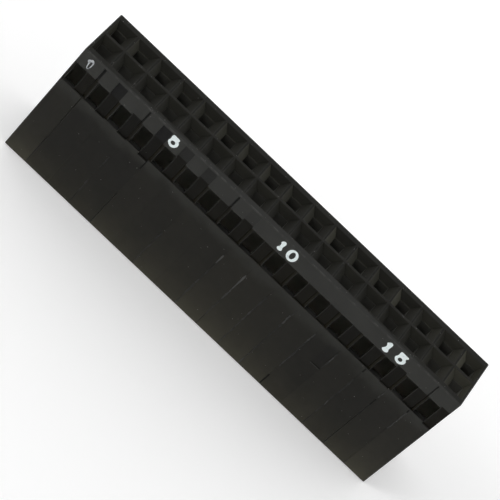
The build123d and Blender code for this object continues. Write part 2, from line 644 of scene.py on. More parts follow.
def keep(name: str, shape: Shape, *materials: Material) -> Piece:
    """Turns a working mesh into an object at the origin.

    Args:
        name: The object's name.
        shape: The working mesh, which is freed.
        materials: The object's materials in the order of its slots.

    Returns:
        The object, linked to the scene.
    """
    mesh = bpy.data.meshes.new(name)
    shape.to_mesh(mesh)
    shape.free()
    for material in materials:
        mesh.materials.append(material)
    piece = bpy.data.objects.new(name, mesh)
    bpy.context.scene.collection.objects.link(piece)
    return piece


def start_tree(name: str, inputs: dict[str, str], result: str) -> tuple[Wiring, object]:
    """Starts a geometry node tree.

    Args:
        name: The tree's name.
        inputs: Each input with its kind of socket.
        result: The output's name.

    Returns:
        The tree's wiring and its input sockets.
    """
    tree = bpy.data.node_groups.new(name, "GeometryNodeTree")
    for title, kind in inputs.items():
        tree.interface.new_socket(name=title, in_out="INPUT", socket_type=f"NodeSocket{kind}")
    tree.interface.new_socket(name=result, in_out="OUTPUT", socket_type="NodeSocketGeometry")
    w = Wiring(tree)
    return w, w.add("NodeGroupInput").outputs


def end_tree(w: Wiring, shape: Socket, finish: Socket) -> Tree:
    """Ends a geometry node tree in one real mesh with its material.

    Args:
        w: The tree's wiring.
        shape: The geometry.
        finish: The material.

    Returns:
        The tree.
    """
    whole = w.fill(w.add("GeometryNodeRealizeInstances"), Geometry=shape)
    dressed = w.fill(w.add("GeometryNodeSetMaterial"), Geometry=whole.outputs[0], Material=finish)
    w.feed(w.add("NodeGroupOutput").inputs[0], dressed.outputs[0])
    return w.tree


def grow(carrier: Piece, tree: Tree, **sizes: object) -> Piece:
    """Runs a geometry node tree on a carrier and keeps its result as a plain mesh.

    Args:
        carrier: The object whose mesh the tree starts from.
        tree: The node tree.
        sizes: Values of the tree's inputs by name.

    Returns:
        The carrier, holding the result.
    """
    modifier = carrier.modifiers.new(tree.name, "NODES")
    modifier.node_group = tree
    for item in tree.interface.items_tree:
        if item.in_out == "INPUT" and item.name in sizes:
            modifier[item.identifier] = sizes[item.name]
    graph = bpy.context.evaluated_depsgraph_get()
    mesh = bpy.data.meshes.new_from_object(carrier.evaluated_get(graph), depsgraph=graph)
    carrier.modifiers.clear()
    carrier.data = mesh
    mesh.name = carrier.name
    return carrier


@dataclass(frozen=True)
class PlateTonesAndPaintedLight:
    """Plate tones with painted light and shade: how much lighter a face is than its finish, by where it lies
    and looks. Darker is negative.
    """

    # Painted shade on the near row's chambers and throats, and the throats' share of the painted light at the
    # lit end.
    chamber: float = -0.03
    throat: float = -0.08
    throat_lift_share: float = 0.25
    wall_hollow: float = -0.25
    # Painted light and shade of the funnels' slopes and ledges, by row and which way they look.
    far_left_slope: float = 1.8
    far_ledge: float = 1.55
    far_slope: float = 0.3
    near_left_slope: float = 0.35
    near_rear_slope: float = 0.55
    near_ledge: float = -0.25
    near_slope: float = 0.1
    # Painted shade on the window sills.
    inner_sill: float = -0.58
    outer_sill: float = -0.55
    # Painted shade on slot floors and on skins that lie a little deep above the ribs.
    first_slot: float = -2.4
    later_slot: float = -1.4
    deep_skin: float = -3.1
    shallow_skin: float = -1.85
    shallowest_skin: float = -0.65
    # Painted light on the slot sides above the band.
    slot_side: float = 2.5
    rib: float = -0.6
    rib_wall_share: float = 0.4

    def funnel(self, plate: int, far: bool, out: Vector) -> float:
        """The painted light and shade of a funnel's slope or ledge, by its row and which way it looks.

        Args:
            plate: The position, counted from 1.
            far: Whether it is in the far row.
            out: Where the face looks.

        Returns:
            The shade.
        """
        left, rear, ledge = out.x > 0.3, out.y < -0.3, out.z > 0.9
        if far and left:
            return FAR_SLOPE_PAINTED_HIGHLIGHTS.get(plate, self.far_left_slope)
        if far:
            return self.far_ledge if ledge else self.far_slope + FAR_FUNNEL_PAINTED_LIGHT.get(plate, 0.0)
        shade = self.near_ledge if ledge else self.near_slope
        shade = self.near_left_slope if left else self.near_rear_slope if rear else shade
        return shade + NEAR_FUNNEL_PAINTED_LIGHT.get(plate, 0.0)

    def above_rib(self, plate: int, depth: float) -> float:
        """The painted shade of a slot's floor or of a skin that lies a little deep above a rib.

        Args:
            plate: The position, counted from 1.
            depth: How deep the face lies.

        Returns:
            The shade.
        """
        if depth > 0.2:
            return self.later_slot if plate > 2 else self.first_slot
        shallow = self.shallow_skin if depth > 0.045 else self.shallowest_skin
        return self.deep_skin if depth > 0.1 else shallow


@dataclass
class MouldedBody:
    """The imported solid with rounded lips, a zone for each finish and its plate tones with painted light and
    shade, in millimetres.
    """

    layout: Layout
    merge_distance: float = 0.0005
    bluntest_lip: float = 40.0
    tolerance: float = 0.01
    flatness: float = 0.001
    skin_depth: float = 0.045
    groove_reach: float = 0.08
    groove_depth: float = 0.2
    facing: float = 0.6
    squarely: float = 0.9
    shades: PlateTonesAndPaintedLight = PlateTonesAndPaintedLight()

    def _on_outer_round(self, place: Vector) -> bool:
        """Whether a place lies on the rounded outer edges of the block.

        Args:
            place: A place on the body.

        Returns:
            Whether it is near two or more outer faces at once.
        """
        size = self.layout
        gaps = (size.length / 2 - abs(place.x), size.depth_of(place), place.z, size.height - place.z)
        return sum(gap < size.edge_radius + 0.005 for gap in gaps) >= 2

    def _at_end(self, place: Vector) -> bool:
        """Whether a place lies on one of the two end faces."""
        return abs(place.x) > self.layout.length / 2 - 0.05

    def _groove_zone(self, face: Face) -> Zone:
        """The zone of a seam groove, which depends on how deep the groove is."""
        deepest = max(self.layout.depth_of(v.co) for v in face.verts)
        return Zone.BAND if deepest > 0.1 else Zone.GAP if deepest > 0.05 else Zone.GROOVE

    def _mouth_zone(self, place: Vector, facing_out: bool) -> Zone:
        """The zone of a face between the mating face and the funnels' ledges.

        Args:
            place: The middle of the face.
            facing_out: Whether it faces a long side.

        Returns:
            The zone.
        """
        outside = self.layout.depth_of(place) < self.layout.mouth_rim - 0.1
        if facing_out and outside:
            return Zone.BROW
        return Zone.SKIN if outside or self._at_end(place) else Zone.FUNNEL

    def zone_of(self, face: Face) -> Zone:
        """Chooses a face's finish from where it lies and where it looks.

        Args:
            face: A face of the body.

        Returns:
            The zone that it belongs to.
        """
        size = self.layout
        place, out = face.calc_center_median(), face.normal
        depth = size.depth_of(place)
        facing_out = abs(out.y) > self.facing
        if place.z > size.height - size.funnel_depth - self.tolerance:
            return self._mouth_zone(place, facing_out)
        slanting = abs(out.x) > 0.3 and abs(out.y) > 0.3
        if slanting and size.seam_distance(place.x) < self.groove_reach and depth < self.groove_depth:
            return self._groove_zone(face)
        above_ribs = place.z > size.band_top + 0.3
        if facing_out and depth < (size.slot_depth + self.tolerance if above_ribs else self.skin_depth):
            return Zone.WALL if place.z < size.band_bottom else Zone.BROW
        on_sill = depth < size.outer_wall and place.z < size.band_bottom + self.tolerance
        if out.z > self.squarely and (depth < size.band_recess or on_sill):
            return Zone.LEDGE
        if place.z < self.flatness or depth < self.skin_depth:
            return Zone.SKIN
        at_band = size.band_bottom - self.tolerance < place.z < size.band_top + self.tolerance
        if depth < size.outer_wall - self.tolerance and (facing_out or at_band):
            return Zone.BAND
        on_end = abs(out.x) > self.squarely and self._at_end(place)
        on_round = depth < size.edge_radius and self._on_outer_round(place)
        return Zone.SKIN if on_end or on_round else Zone.BORE

    def lip_of(self, edge: bmesh.types.BMEdge) -> Lip | None:
        """Chooses the round of an outward corner.

        Args:
            edge: An edge of the body.

        Returns:
            The kind of lip, or None where the edge stays as it is.
        """
        size = self.layout
        if len(edge.link_faces) != 2 or edge.calc_length() < 0.05:
            return None
        if edge.calc_face_angle_signed() < math.radians(self.bluntest_lip):
            return None
        first, last = (v.co for v in edge.verts)
        if self._on_outer_round(first) and self._on_outer_round(last):
            return None
        middle = (first + last) / 2
        depth, rise = size.depth_of(middle), abs(first.z - last.z)
        in_groove = size.seam_distance(middle.x) < self.groove_reach and depth < self.groove_depth
        if in_groove and abs(middle.x) < size.length / 2 - 0.3:
            return None
        if middle.z > size.height - size.funnel_depth / 2:
            return Lip.RIM
        if depth < 0.03 and rise < self.tolerance and 1.0 < middle.z < size.band_bottom - 1.0:
            return Lip.LEDGE
        if depth < 0.2 and size.band_bottom - self.tolerance < middle.z < size.band_top + self.tolerance:
            return Lip.WINDOW if rise > 1.0 else Lip.LEDGE
        return Lip.OTHER

    def build(self, source: Piece, materials: list[Material]) -> Piece:
        """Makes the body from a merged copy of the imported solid.

        Args:
            source: The CAD node's object, which is only read.
            materials: The finishes in the order of the zones.

        Returns:
            The finished body.
        """
        shape = bmesh.new()
        shape.from_mesh(source.data)
        bmesh.ops.scale(shape, vec=(1 / MM,) * 3, verts=shape.verts)
        bmesh.ops.remove_doubles(shape, verts=shape.verts, dist=self.merge_distance)
        bmesh.ops.dissolve_limit(shape, angle_limit=math.radians(1), verts=shape.verts, edges=shape.edges)
        self._divide_faces(shape)
        self._mark_zones(shape)
        for lip in Lip:
            self._round(shape, lip)
        bmesh.ops.dissolve_degenerate(shape, dist=self.merge_distance, edges=shape.edges)
        shade = shape.faces.layers.float.new("plate")
        for face in shape.faces:
            face[shade] = self.shade_of(face)
        self._relieve(shape)
        return keep("moulded_body", shape, *materials)

    def _divide_faces(self, shape: Shape) -> None:
        """Divides the faces that have to show more than one finish.

        Args:
            shape: The body's mesh.
        """
        size = self.layout
        for side in (-1, 1):
            level = size.band_bottom
            sills = [f for f in shape.faces if abs(f.calc_center_median().z - level) < self.tolerance]
            self._divide(shape, sills, Vector((0, side * (size.width / 2 - size.band_recess), 0)), (0, 1, 0))
            rims = [f for f in shape.faces if f.calc_center_median().z > size.height - self.flatness]
            self._divide(shape, rims, Vector((0, side * (size.width / 2 - size.mouth_rim), 0)), (0, 1, 0))
        for depth in (size.band_recess, size.slot_depth):
            level = size.front + depth
            floors = [f for f in shape.faces if abs(f.calc_center_median().y - level) < self.flatness]
            self._divide(shape, floors, Vector((0, 0, size.band_top)), (0, 0, 1))
        shape.normal_update()

    @staticmethod
    def _divide(shape: Shape, faces: list[Face], through: Vector, across: tuple[int, int, int]) -> None:
        """Divides flat faces, so that each side of the cut can have a finish of its own.

        Args:
            shape: The body's mesh.
            faces: The faces that are divided.
            through: A place that the cut passes through.
            across: The direction that the cut is square to.
        """
        edges = {edge for face in faces for edge in face.edges}
        verts = {vert for face in faces for vert in face.verts}
        geometry = [*verts, *edges, *faces]
        bmesh.ops.bisect_plane(shape, geom=geometry, plane_co=through, plane_no=across, dist=0.0001)

    def _mark_zones(self, shape: Shape) -> None:
        """Gives each face its zone, and marks the rounded outer edges for wear and painted highlight, most of
        all the front one.

        Args:
            shape: The body's mesh.
        """
        lip_mark = shape.faces.layers.float.new("lip")
        for face in shape.faces:
            place = face.calc_center_median()
            face.material_index = self.zone_of(face).value
            face.smooth = max(abs(c) for c in face.normal) < 0.999 and self._on_outer_round(place)
            at_front = place.y < 0 and place.z > self.layout.height - self.layout.edge_radius
            face[lip_mark] = (1.0 if at_front else 0.5) if face.smooth else 0.0

    def _round(self, shape: Shape, lip: Lip) -> None:
        """Rounds the corners of one kind and marks the new faces.

        Args:
            shape: The body's mesh.
            lip: The kind, which gives the round and how light its wear and painted highlight are.
        """
        edges = [edge for edge in shape.edges if self.lip_of(edge) is lip]
        made = bmesh.ops.bevel(
            shape, geom=edges, offset=lip.reach, offset_type="OFFSET", segments=2, profile=0.5,
            affect="EDGES", clamp_overlap=True, material=-1, loop_slide=True,
        )
        lip_mark = shape.faces.layers.float["lip"]
        for face in made["faces"]:
            face[lip_mark] = lip.rubbed
            face.smooth = True

    def shade_of(self, face: Face) -> float:
        """How much lighter a face is than its finish: its plate's own tone, and painted light and shade by
        how deep it lies and where it looks.

        Args:
            face: A face of the body, with its zone.

        Returns:
            The shade, before the finish's plate contrast.
        """
        size, shades = self.layout, self.shades
        place, out, zone = face.calc_center_median(), face.normal, Zone(face.material_index)
        plate, depth = size.plate_of(place.x), size.depth_of(place)
        wall = WALL_SHADES.get(plate, 0.0)
        # Painted shade on the near row's throats and chambers, with painted light at the lit end.
        if zone is Zone.BORE and place.y < 0.0:
            throat = shades.throat + shades.throat_lift_share * NEAR_FUNNEL_PAINTED_LIGHT.get(plate, 0.0)
            return throat if place.z > size.band_top else shades.chamber
        if place.z < size.band_bottom and abs(out.y) > self.squarely:
            return wall + (shades.wall_hollow if depth > 0.03 else 0.0)
        # Painted light and shade of the funnels' slopes and ledges.
        if zone is Zone.FUNNEL and place.z < size.height - 0.1:
            return shades.funnel(plate, place.y > 0.0, out)
        # Painted shade on the sills.
        if zone is Zone.LEDGE and depth > size.band_recess:
            return shades.inner_sill
        if zone is Zone.LEDGE and size.band_bottom - 0.5 < place.z < size.band_bottom + self.tolerance:
            return shades.outer_sill
        # Painted shade on slot floors and deeper skins above the ribs.
        if zone is Zone.BROW and place.y < 0.0 and depth > 0.02 and place.z < size.height - 0.5:
            return shades.above_rib(plate, depth)
        # Painted light on the slot sides above the band.
        if zone is Zone.BAND and size.seam_distance(place.x) < 0.13:
            return shades.slot_side if place.z > size.band_top else 0.0
        if zone is Zone.BAND and size.beyond_window(place.x):
            return shades.rib + shades.rib_wall_share * wall
        return 0.0

    def _relieve(self, shape: Shape) -> None:
        """Leaves a hair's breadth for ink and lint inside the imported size.

        Args:
            shape: The body's mesh.
        """
        size = self.layout
        spans = (size.length, size.width, size.height)
        middle = Vector((0, 0, size.height / 2))
        factors = [(span - 2 * size.print_relief) / span for span in spans]
        for vert in shape.verts:
            local = vert.co - middle
            vert.co = Vector([c * f for c, f in zip(local, factors)]) + middle


@dataclass(frozen=True)
class SeamStyle:
    """How one kind of line is drawn, in millimetres. Each field is an input of the node tree."""

    finish: Material
    width: float
    crest: float
    seed: int
    wobble: float = 0.0
    ragged: float = 0.0
    taper: float = 0.0


@dataclass
class PlateSeams:
    """The thin raised lines where mould plates met, beside the windows and on the partitions."""

    layout: Layout
    step: float = 0.14
    burr_gap: float = 0.045
    burr_end: float = 0.02
    partition_spans: tuple[Point, Point] = ((-2.35, -0.16), (0.16, 2.35))
    partition_lift: float = 0.0015

    def runs(self) -> dict[SeamKind, tuple[tuple[int, float, float], ...]]:
        """The stretches that the numbered side shows: seam, start and end below the mating face."""
        last = self.layout.height - 0.12
        top = self.layout.height - self.layout.band_bottom + 0.14
        return {
            SeamKind.CLOSED: (
                (1, 8.3, 10.8), (2, top, last), (3, top, 7.2), (3, 9.0, 10.8), (4, 5.9, 9.9), (5, top, last),
                (6, top, 9.4), (7, top, last), (8, top, 6.3), (9, top, 6.2), (10, top, 6.5), (11, top, 5.2),
                (12, top, 5.6), (12, 11.5, 12.9), (13, top, 5.5), (13, 8.3, last), (14, 5.2, 6.4),
                (16, 8.0, 13.9),
            ),
            SeamKind.FLASH: (
                (8, 10.5, 11.2), (9, 8.65, 10.6), (10, 8.1, 11.7), (11, 6.1, 7.5), (12, 5.7, 7.3),
                (12, 9.6, 11.4), (13, 6.1, 7.0), (14, 10.4, 11.1), (15, top, 6.0), (16, 5.0, 7.9),
            ),
            SeamKind.FAINT: (
                (3, 7.3, 8.9), (3, 10.9, 12.9), (6, 9.5, last), (8, 7.9, 10.4), (8, 11.3, last),
                (9, 10.7, 13.2), (10, 6.6, 8.0), (10, 11.8, last), (11, 5.3, 6.0), (11, 7.7, last),
                (12, 7.4, 9.5), (13, 5.6, 6.1), (13, 6.9, 8.2), (14, 6.5, 10.2), (14, 11.3, 12.4),
            ),
            SeamKind.BEAD: ((8, 6.4, 7.7), (9, 6.3, 8.6)),
            SeamKind.GAP: ((4, top, 5.8), (12, 13.0, last), (14, top, 5.1), (15, 6.3, 7.3), (16, top, 4.95)),
        }

    def lines_of(self, kind: SeamKind) -> list[Line]:
        """Where the lines of one kind run.

        Args:
            kind: The kind of line.

        Returns:
            The two ends of each line.
        """
        size = self.layout
        if kind is SeamKind.TOP:
            level = size.height - size.print_relief + self.partition_lift
            seams = [size.seam_x(n) for n in range(1, size.columns)]
            spans = [(x, low, high) for x in seams for low, high in self.partition_spans]
            return [(Vector((x, low, level)), Vector((x, high, level))) for x, low, high in spans]
        wall = size.front + size.print_relief
        if kind is SeamKind.BURR:
            wall += size.band_recess
            sides = (size.window_left - self.burr_gap, size.window_right + self.burr_gap)
            ends = (size.band_top - self.burr_end, size.band_bottom + self.burr_end)
            places = [size.seam_x(n) + side for n in range(size.columns) for side in sides]
            return [tuple(Vector((x, wall, z)) for z in ends) for x in places]
        wall += {SeamKind.CLOSED: 0.001, SeamKind.GAP: -0.0015}.get(kind, 0.0)
        lines = [
            tuple(Vector((size.seam_x(seam), wall, size.height - depth)) for depth in ends)
            for seam, *ends in self.runs()[kind]
        ]
        if kind is SeamKind.FAINT:
            right, level = size.seam_x(size.patch_position), size.height - size.patch_bottom
            lines.append(tuple(Vector((right - x, wall, level)) for x in (0.06, size.patch_width)))
        return lines

    @staticmethod
    def tree() -> Tree:
        """Builds the node tree that turns lines into closed strips with an arched crest.

        Returns:
            The tree.
        """
        sizes = dict.fromkeys(("Width", "Crest", "Wobble", "Ragged", "Taper", "Step"), "Float")
        others = {"Outward": "Vector", "Seed": "Int", "Finish": "Material"}
        w, given = start_tree("seam strip", {"Lines": "Geometry", **sizes, **others}, "Strips")
        line = w.fill(w.add("GeometryNodeMeshToCurve"), Mesh=given["Lines"])
        knots = w.add("GeometryNodeResampleCurve", mode="LENGTH")
        w.fill(knots, Curve=line.outputs[0], Length=given["Step"])

        moved = w.add("ShaderNodeVectorMath", operation="ADD")
        w.feed(moved.inputs[0], w.add("GeometryNodeInputPosition").outputs[0])
        w.feed(moved.inputs[1], w.vector(x=given["Seed"]))
        place = moved.outputs[0]
        sway = w.maths("SUBTRACT", w.noise(place, 0.9), 0.5)
        aside = w.vector(x=w.maths("MULTIPLY", sway, given["Wobble"]))
        bent = w.fill(w.add("GeometryNodeSetPosition"), Geometry=knots.outputs[0], Offset=aside)
        turned = w.add("GeometryNodeSetCurveNormal", mode="FREE")
        w.fill(turned, Curve=bent.outputs[0], Normal=given["Outward"])

        half = w.maths("MULTIPLY", given["Width"], 0.5)
        peak = w.maths("MULTIPLY", given["Crest"], 2.0)
        arch = w.add("GeometryNodeCurveQuadraticBezier")
        edges = {"Start": w.vector(y=w.maths("MULTIPLY", half, -1.0)), "End": w.vector(y=half)}
        w.fill(arch, Resolution=4, Middle=w.vector(x=peak), **edges)
        section = w.fill(w.add("GeometryNodeSetSplineCyclic"), Geometry=arch.outputs[0], Cyclic=True)

        uneven = w.maths("SUBTRACT", w.noise(place, 3.1), 0.5)
        along = w.add("GeometryNodeSplineParameter").outputs["Factor"]
        start = w.maths("SUBTRACT", 1.0, w.maths("MULTIPLY", along, 7.0, clamp=True))
        lost = w.maths("MULTIPLY", w.maths("ADD", along, start), given["Taper"])
        share = w.maths("MULTIPLY_ADD", uneven, given["Ragged"], w.maths("SUBTRACT", 1.0, lost))
        skin = w.fill(w.add("GeometryNodeCurveToMesh"), Curve=turned.outputs[0], Fill_Caps=True)
        w.fill(skin, Profile_Curve=section.outputs[0], Scale=w.maths("MAXIMUM", share, 0.15))
        return end_tree(w, skin.outputs[0], given["Finish"])

    def build(self, finishes: Finishes) -> list[Piece]:
        """Makes one piece for each kind of line.

        Args:
            finishes: The materials of the object.

        Returns:
            The pieces.
        """
        tree = self.tree()
        pieces = []
        for kind, style in {
            SeamKind.CLOSED: SeamStyle(finishes.wall, 0.11, 0.0005, seed=3),
            SeamKind.FLASH: SeamStyle(
                finishes.flash, 0.11, 0.0035, seed=11, wobble=0.2, ragged=4.0, taper=0.35
            ),
            SeamKind.FAINT: SeamStyle(
                finishes.faint, 0.12, 0.0025, seed=17, wobble=0.2, ragged=5.0, taper=0.3
            ),
            SeamKind.BEAD: SeamStyle(
                finishes.bead, 0.20, 0.006, seed=5, wobble=0.04, ragged=0.8, taper=0.6
            ),
            SeamKind.GAP: SeamStyle(finishes.gap, 0.12, 0.0006, seed=23, wobble=0.05, ragged=0.9),
            SeamKind.BURR: SeamStyle(finishes.burr, 0.055, 0.012, seed=31, wobble=0.02, ragged=1.4),
            SeamKind.TOP: SeamStyle(finishes.gap, 0.055, 0.0006, seed=41, wobble=0.05, ragged=2.6),
        }.items():
            lines = bmesh.new()
            for ends in self.lines_of(kind):
                lines.edges.new([lines.verts.new(end) for end in ends])
            outward = (0.0, 0.0, 1.0) if kind is SeamKind.TOP else (0.0, -1.0, 0.0)
            sizes = {name.capitalize(): value for name, value in vars(style).items()}
            piece = keep(f"seam_{kind.value}", lines)
            pieces.append(grow(piece, tree, Step=self.step, Outward=outward, **sizes))
        return pieces


def box_points(*hundredths: float) -> tuple[Point, ...]:
    """Pairs up numbers as points in a unit box, across and down, each in hundredths of the box."""
    return tuple((x / 100, y / 100) for x, y in zip(hundredths[::2], hundredths[1::2]))


def oval(middle: Point, reach: Point, count: int = 8) -> tuple[Point, ...]:
    """Points of an oval from its centre and from half its width and height."""
    turns = [2 * math.pi * index / count for index in range(count)]
    return tuple((middle[0] + reach[0] * math.cos(t), middle[1] + reach[1] * math.sin(t)) for t in turns)


@dataclass(frozen=True)
class Figure:
    """Outline of one printed figure in a unit box, x to the right and y down, with its hole if it has one."""

    outline: tuple[Point, ...]
    hole: tuple[Point, ...] = ()


@dataclass(frozen=True)
class Print:
    """A figure on the numbered side: its ends along X and its depths below the mating face."""

    figure: Figure
    left: float
    right: float
    top: float
    bottom: float


@dataclass
class PositionNumbers:
    """The printed numbers of the 1st, 5th, 10th and 15th position, with soft, spread outlines."""

    layout: Layout
    ink_depth: float = 0.004
    ink_sink: float = 0.001

    def prints(self) -> tuple[list[Print], list[Print]]:
        """The well-inked figures and the faint first one.

        Returns:
            Both lists.
        """
        faint_one = Figure(
            box_points(
                58, 0, 84, 6, 99, 20, 100, 42, 97, 64, 90, 83, 79, 96, 63, 100, 45, 92, 36, 78, 31, 61,
                22, 47.5, 8, 41, 0, 31, 11, 20, 34, 10,
            ),
            box_points(64, 24, 79, 30, 84, 47.5, 81, 70, 74, 87, 63, 92, 53, 81, 49, 61, 49, 42, 54, 30),
        )
        first_five = Figure(
            box_points(
                7, 3, 44, 0, 77, 3, 83, 9, 82, 22, 94, 35, 100, 54, 95, 72, 83, 86, 65, 97, 48, 100, 31, 96,
                13, 86, 2, 74, 0, 62, 5, 46, 3, 24, 3, 11,
            ),
            oval((0.47, 0.60), (0.225, 0.17)),
        )
        slab_one = Figure(
            box_points(
                53, 0, 78, 6, 90, 18, 88, 34, 83, 47, 84, 62, 95, 72, 100, 84, 86, 94, 66, 99, 34, 99,
                12, 94, 0, 84, 6, 74, 20, 64, 22, 50, 15, 37, 0, 27, 8, 15, 29, 5,
            )
        )
        zero = Figure(oval((0.5, 0.5), (0.5, 0.5), 16), oval((0.51, 0.49), (0.22, 0.32), 12))
        flag_one = Figure(
            box_points(
                51, 0, 72, 4, 83, 15, 84, 30, 82, 47, 84, 62, 95, 73, 100, 85, 84, 94, 64, 99, 34, 99,
                12, 94, 0, 85, 8, 75, 20, 63, 23, 49, 15, 36, 0, 25, 11, 14, 30, 4,
            )
        )
        last_five = Figure(
            box_points(
                11, 2, 38, 0, 70, 1, 91, 3, 93, 14, 83, 24.5, 88, 36, 98, 47, 100, 60, 96, 74, 83, 88,
                66, 97, 50, 100, 33, 97, 14, 88, 2, 75, 0, 63, 7, 48, 9, 32, 6.5, 17,
            ),
            oval((0.48, 0.62), (0.20, 0.165)),
        )
        full = [
            Print(first_five, -11.36, -10.42, 0.17, 1.47),
            Print(slab_one, 1.27, 1.76, 0.27, 1.54),
            Print(zero, 2.19, 3.23, 0.22, 1.63),
            Print(flag_one, 13.44, 14.04, 0.26, 1.62),
            Print(last_five, 14.73, 15.72, 0.19, 1.53),
        ]
        return full, [Print(faint_one, -20.68, -20.09, 0.39, 1.60)]

    def _outline(self, curve: bpy.types.Curve, shape: Print, outline: tuple[Point, ...]) -> None:
        """Adds one closed smooth outline to a flat curve.

        Args:
            curve: The curve that gets the outline.
            shape: The print that it belongs to.
            outline: Its points in the print's unit box.
        """
        spline = curve.splines.new("BEZIER")
        spline.bezier_points.add(len(outline) - 1)
        for knot, (across, down) in zip(spline.bezier_points, outline):
            x = shape.left + across * (shape.right - shape.left)
            depth = shape.top + down * (shape.bottom - shape.top)
            knot.co = (x, self.layout.height - depth, 0.0)
            knot.handle_left_type = knot.handle_right_type = "AUTO"
        spline.use_cyclic_u = True

    def _ink(self, name: str, prints: list[Print], finish: Material) -> Piece:
        """Makes one piece of ink.

        Args:
            name: The piece's name.
            prints: The figures in it.
            finish: The ink.

        Returns:
            The piece, upright on the numbered side.
        """
        curve = bpy.data.curves.new(name, "CURVE")
        curve.dimensions = "2D"
        curve.fill_mode = "BOTH"
        curve.resolution_u = 5
        curve.extrude = self.ink_depth / 2
        for shape in prints:
            for outline in filter(None, (shape.figure.outline, shape.figure.hole)):
                self._outline(curve, shape, outline)
        flat = bpy.data.objects.new(name, curve)
        bpy.context.scene.collection.objects.link(flat)
        mesh = bpy.data.meshes.new_from_object(flat.evaluated_get(bpy.context.evaluated_depsgraph_get()))
        bpy.data.objects.remove(flat)
        ink = bmesh.new()
        ink.from_mesh(mesh)
        bpy.data.meshes.remove(mesh)
        bmesh.ops.remove_doubles(ink, verts=ink.verts, dist=0.0001)
        bmesh.ops.recalc_face_normals(ink, faces=ink.faces)
        wall = self.layout.front + self.layout.print_relief - self.ink_sink - self.ink_depth / 2
        upright = Matrix.Translation((0, wall, 0)) @ Matrix.Rotation(math.radians(90), 4, "X")
        bmesh.ops.transform(ink, matrix=upright, verts=ink.verts)
        return keep(name, ink, finish)

    def build(self, finishes: Finishes) -> list[Piece]:
        """Makes the well-inked numbers and the faint first one.

        Args:
            finishes: The materials of the object.

        Returns:
            The two pieces.
        """
        full, faint = self.prints()
        return [
            self._ink("position_numbers", full, finishes.white_ink),
            self._ink("first_number", faint, finishes.grey_ink),
        ]


@dataclass
class Lint:
    """Pale flecks that lie on the outer faces, in millimetres."""

    layout: Layout
    density: float = 1.2
    side_share: float = 0.15
    smallest: float = 0.012
    largest: float = 0.035
    thickness: float = 0.005
    seed: int = 7
    decimals: int = 4

    @staticmethod
    def tree() -> Tree:
        """Builds the node tree that scatters the flecks.

        Returns:
            The tree.
        """
        sizes = dict.fromkeys(("Density", "Smallest", "Largest", "Thickness"), "Float")
        others = {"Seed": "Int", "Finish": "Material"}
        w, given = start_tree("lint flecks", {"Surface": "Geometry", **sizes, **others}, "Flecks")
        share = w.add("GeometryNodeInputNamedAttribute", data_type="FLOAT")
        density = w.maths("MULTIPLY", given["Density"], w.fill(share, Name="lint").outputs["Attribute"])
        spread = w.add("GeometryNodeDistributePointsOnFaces", distribute_method="RANDOM")
        w.fill(spread, Mesh=given["Surface"], Seed=given["Seed"])
        w.feed(spread.inputs["Density"], density)
        fleck = w.fill(w.add("GeometryNodeMeshIcoSphere"), Radius=1.0, Subdivisions=1)

        def chance(low: object, high: object, offset: int) -> Socket:
            """One random number for each fleck.

            Args:
                low: The lowest number.
                high: The highest number.
                offset: What is added to the seed.

            Returns:
                The socket that holds the number.
            """
            node = w.add("FunctionNodeRandomValue", data_type="FLOAT")
            w.feed(node.inputs[2], low)
            w.feed(node.inputs[3], high)
            w.feed(node.inputs["Seed"], w.maths("ADD", given["Seed"], float(offset)))
            return node.outputs[1]

        spin = w.add("FunctionNodeAxisAngleToRotation")
        w.fill(spin, Axis=(0.0, 0.0, 1.0), Angle=chance(0.0, 2 * math.pi, 1))
        facing = w.add("FunctionNodeRotateRotation", rotation_space="LOCAL")
        w.fill(facing, Rotation=spread.outputs["Rotation"], Rotate_By=spin.outputs[0])
        reach = [chance(given["Smallest"], given["Largest"], offset) for offset in (2, 3)]
        placed = w.add("GeometryNodeInstanceOnPoints")
        w.fill(placed, Points=spread.outputs["Points"], Instance=fleck.outputs["Mesh"])
        w.fill(placed, Rotation=facing.outputs[0], Scale=w.vector(*reach, given["Thickness"]))
        return end_tree(w, placed.outputs[0], given["Finish"])

    def _carrier(self, body: Piece) -> Shape:
        """Copies the flat outer faces as triangles in a fixed order, so that each run puts the flecks alike.

        Args:
            body: The moulding, still in millimetres.

        Returns:
            The triangles, each with its share of the flecks.
        """
        size = self.layout
        shape = bmesh.new()
        shape.from_mesh(body.data)
        bmesh.ops.triangulate(shape, faces=shape.faces)
        triangles = []
        for face in shape.faces:
            place, out = face.calc_center_median(), face.normal
            on_top = out.z > 0.999 and place.z > size.height - 0.05
            on_side = abs(out.y) > 0.999 and size.depth_of(place) < 0.05
            if on_top or on_side:
                corners = [tuple(round(c, self.decimals) for c in vert.co) for vert in face.verts]
                first = corners.index(min(corners))
                turned = corners[first:] + corners[:first]
                triangles.append((turned, 1.0 if on_top else self.side_share))
        shape.free()
        carrier = bmesh.new()
        share = carrier.faces.layers.float.new("lint")
        for corners, amount in sorted(triangles):
            carrier.faces.new([carrier.verts.new(corner) for corner in corners])[share] = amount
        return carrier

    def build(self, body: Piece, finish: Material) -> Piece:
        """Scatters the flecks over the flat outer faces.

        Args:
            body: The moulding, still in millimetres.
            finish: The flecks' material.

        Returns:
            The piece.
        """
        return grow(
            keep("lint_flecks", self._carrier(body)), self.tree(), Density=self.density,
            Smallest=self.smallest, Largest=self.largest, Thickness=self.thickness, Seed=self.seed,
            Finish=finish,
        )


